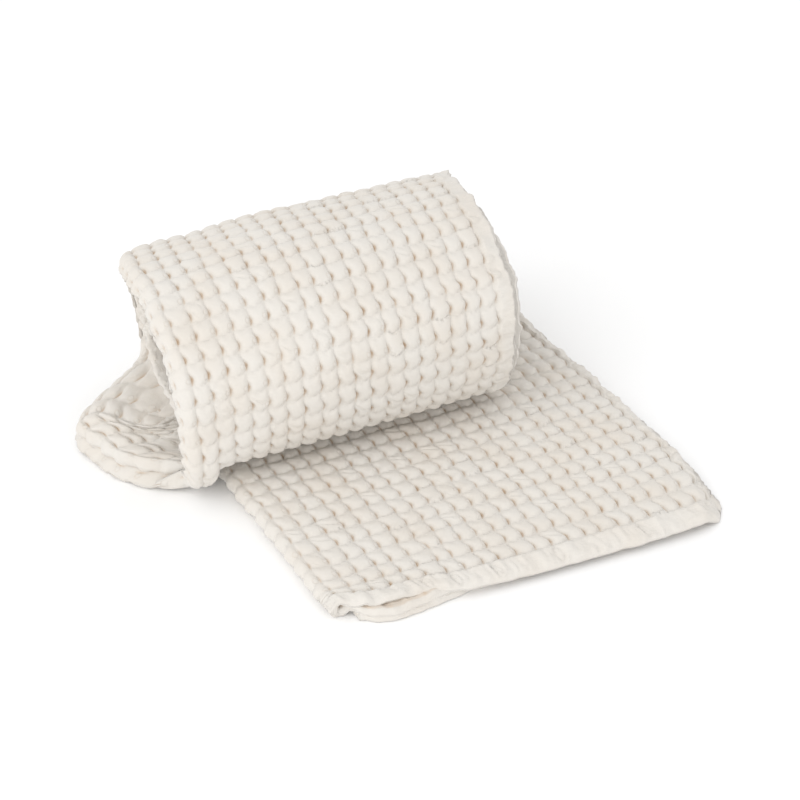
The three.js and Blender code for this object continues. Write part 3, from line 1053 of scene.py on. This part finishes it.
def makeCotton(look):
    material = bpy.data.materials.new("towel cotton")
    material.use_nodes = True
    g = Graph(material.node_tree)
    shader = material.node_tree.nodes["Principled BSDF"]
    shader.inputs["Sheen Weight"].default_value = look["sheen"]
    shader.inputs["Sheen Roughness"].default_value = look["sheenRoughness"]
    shader.inputs["Specular IOR Level"].default_value = look["specular"]
    cells = g.node("ShaderNodeUVMap", uv_map="cloth").outputs["UV"]
    hollow = g.node("ShaderNodeAttribute", attribute_name="hollow").outputs["Fac"]
    hem = g.node("ShaderNodeAttribute", attribute_name="hem").outputs["Fac"]
    marks = g.place(puffMarks, cells, look["nub"])
    yarn = g.place(threads, cells, look["threads"])
    notHem = g.math("SUBTRACT", 1.0, hem)
    ring = g.math("MULTIPLY", marks.outputs["Ring"], notHem)
    slit = g.math("MULTIPLY", marks.outputs["Slit"], notHem)
    # colour: warmer patches at random, and painted shade in the hollows, the slits and the nub
    # rings
    patches = g.noise(cells, look["patchScale"], 2.0)
    base = g.mix(g.ramp(patches, 0.35, 0.7), look["light"], look["warm"])
    # painted shade: the hollow mask, the slits and the nub rings darken the colour towards the
    # brown painted shade colour
    hollowShade = g.ramp(hollow, *look["hollowFrom"], 0.0, look["hollowMost"])
    depth = g.math("ADD", hollowShade, g.math("MULTIPLY", slit, look["slitShade"]), clamp=True)
    depth = g.math("ADD", depth, g.math("MULTIPLY", ring, look["ringShade"]), clamp=True)
    g.put(shader.inputs["Base Color"], g.mix(depth, base, look["paintedShade"]))
    g.put(shader.inputs["Roughness"], g.ramp(patches, 0.2, 0.8, *look["roughness"]))
    # relief too fine for the mesh: fine wrinkles, pleats in the hems, rings, slits, threads
    relief = look["relief"]
    wrinkles = g.noise(cells, look["wrinkleScale"], 3.0, 0.6)
    stretched = g.node("ShaderNodeMapping")
    g.put(stretched.inputs["Vector"], cells)
    stretched.inputs["Scale"].default_value = look["pleatScale"]
    pleats = g.math("MULTIPLY", g.noise(stretched.outputs["Vector"], 1.0, 2.0, 0.5), hem)
    masks = {"pleats": pleats, "ring": ring, "slit": slit, "threads": yarn.outputs["Height"]}
    height = g.math("MULTIPLY", wrinkles, relief["wrinkles"])
    for key, mask in masks.items():
        height = g.math("ADD", height, g.math("MULTIPLY", mask, relief[key]))
    bump = g.node("ShaderNodeBump")
    bump.inputs["Strength"].default_value = look["bump"]
    bump.inputs["Distance"].default_value = look["bumpReach"]
    g.put(bump.inputs["Height"], height)
    g.put(shader.inputs["Normal"], bump.outputs["Normal"])
    return material


cotton = makeCotton(cottonLook)
print("cotton made")

# The strip is drawn in six stretches. The last cells of the open one come first,
# with its three hems in front.
openHem = {
    "turns": (-1, -0.74),
    "perCell": 12,  # stations in the length of a cell
    "lead": (0.3, 0.8, 1.5, 2.3),  # more of them behind the hems, in mm
    "inner": {"columns": 22, "hemWide": 7, "parts": 12},  # the top layer's upper face
    "hemWave": 0.8,
    "scallop": 0.9,
    "tuck": 0,  # how far the left fold stands inside the low layer's hem
    "tube": 5.8,  # half width of a left fold that stays open
    "foldParts": 12,
    "foldPuff": 0.8,
    "leftSoft": 0.75,  # share of a puff's rise left beside the left fold
    "rowDepth": 1.0,  # of the grooves between rows, against those between columns
    "bulge": 0.05,  # share of a cell that a puff leans out beside its nub
    "lowPuff": 0.9,  # puffs inside the fold
    "shadeInside": 0.75,  # how much painted shade the faces inside the fold get
    "endRound": 4.2,  # how far in the hems in front are rounded, in mm
    "hidden": [-120 + 2.0 * k for k in range(120)],  # x of the points inside the fold
}
openStretch = dict(
    openHem,
    turns=(-0.74, 0.0),
    lead=(),
    lowPuff=0,
    endRound=0,
    hidden=[-112, -106, -100, -60, -12, 30, 70, 94],
)
# The outermost turn of the roll: its rise at the back, then the rest.
backTurn = {
    "turns": (0.0, 0.3),
    "perCell": 10,
    "lead": (),
    "inner": {"columns": 22, "hemWide": 7, "parts": 12, "fine": (14, 22)},
    "outer": {"columns": 18, "hemWide": 13, "parts": 10},  # the low layer's outer face
    "hemWave": 0.9,
    "scallop": 0.7,
    "tuck": 4.5,
    "curled": 1,
    "curl": 9,  # how far the low layer's hem curls up round the left fold
    "curlParts": 10,
    "curlPuff": 0.75,
    "foldParts": 5,
    "foldPuff": 0.5,
    "leftSoft": 1.0,
    "rowDepth": 1.0,
    "bulge": 0.05,
    "lowPuff": 0,
    # less painted shade inside the folds of the roll
    "shadeInside": 0.2,
    "endRound": 0,
    "hidden": [-137, -131, -126, -105, -60, -12, 30],
}
outerWrap = dict(
    backTurn,
    turns=(0.3, 0.9),
    perCell=12,
    inner=None,
    outer={"columns": 18, "hemWide": 13, "parts": 12},
    rowDepth=0.98,
)
# Where the next turn runs out to the left in a lobe.
lobe = dict(
    backTurn,
    turns=(0.9, 1.36),
    inner={"columns": 20, "hemWide": 7, "parts": 10, "fine": (0, 10), "cellWide": 8.6},
    curlFades=(0.9, 0.945),
    foldParts=10,
    foldPuff=0.8,
    hidden=[-150, -143, -137, -131, -126, -105, -60, -12, 30],
)
innerWraps = dict(
    backTurn,
    turns=(1.36, strip["rollTurns"]),
    perCell=6,
    inner=None,
    outer=None,
    tuck=0,
    curled=0,
    curl=0,
    foldParts=9,
    foldPuff=0.9,
)
stretches = {
    "open_hem": openHem,
    "open_stretch": openStretch,
    "back_turn": backTurn,
    "outer_wrap": outerWrap,
    "lobe": lobe,
    "inner_wraps": innerWraps,
}
for name, part in stretches.items():
    cloth = makeCloth(name, part, cotton)
    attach(cloth, "root")
    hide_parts("towel")
print("cloth made")

studio = {
    "floorReach": 3.0,
    "floorLow": 0.0003,  # under the cloth, so that the two don't share a plane
    "floorColour": (0.99, 0.99, 0.99, 1),
    "floorRoughness": 0.9,
    "world": 0.93,
    "key": {"place": (-1.6, -0.7, 1.5), "size": (2.4, 2.4), "power": 17},
    "fill": {"place": (-0.5, -2.1, 0.8), "size": (2.4, 1.0), "power": 5},
}


def makeFloor():
    reach = studio["floorReach"]
    corners = [(-reach, -reach, 0), (reach, -reach, 0), (reach, reach, 0), (-reach, reach, 0)]
    mesh = bpy.data.meshes.new("floor")
    mesh.from_pydata(corners, [], [(0, 1, 2, 3)])
    floor = addObject("floor", mesh)
    material = bpy.data.materials.new("floor white")
    material.use_nodes = True
    shader = material.node_tree.nodes["Principled BSDF"]
    shader.inputs["Base Color"].default_value = studio["floorColour"]
    shader.inputs["Roughness"].default_value = studio["floorRoughness"]
    mesh.materials.append(material)
    floor.location.z = -studio["floorLow"]


def addLight(name, settings):
    data = bpy.data.lights.new(name, "AREA")
    data.shape = "RECTANGLE"
    data.size, data.size_y = settings["size"]
    data.energy = settings["power"]
    light = addObject(name, data)
    light.location = settings["place"]
    light.rotation_euler = (-Vector(settings["place"])).to_track_quat("-Z", "Y").to_euler()


makeFloor()
addLight("key", studio["key"])
addLight("fill", studio["fill"])
world = bpy.data.worlds.new("studio")
bpy.context.scene.world = world
world.use_nodes = True
background = world.node_tree.nodes["Background"]
background.inputs["Color"].default_value = (1, 1, 1, 1)
background.inputs["Strength"].default_value = studio["world"]

view = {
    "place": (-0.3882, -0.8127, 0.6598),
    "forward": (0.3662, 0.7391, -0.5654),
    "lens": 83.25,
    "sensor": 36,
}
cameraData = bpy.data.cameras.new("camera")
cameraData.lens = view["lens"]
cameraData.sensor_width = view["sensor"]
cameraData.clip_end = 20
camera = addObject("camera", cameraData)
camera.location = view["place"]
camera.rotation_euler = Vector(view["forward"]).to_track_quat("-Z", "Y").to_euler()
bpy.context.scene.camera = camera
bpy.context.scene.view_settings.view_transform = "Standard"
print("studio made")
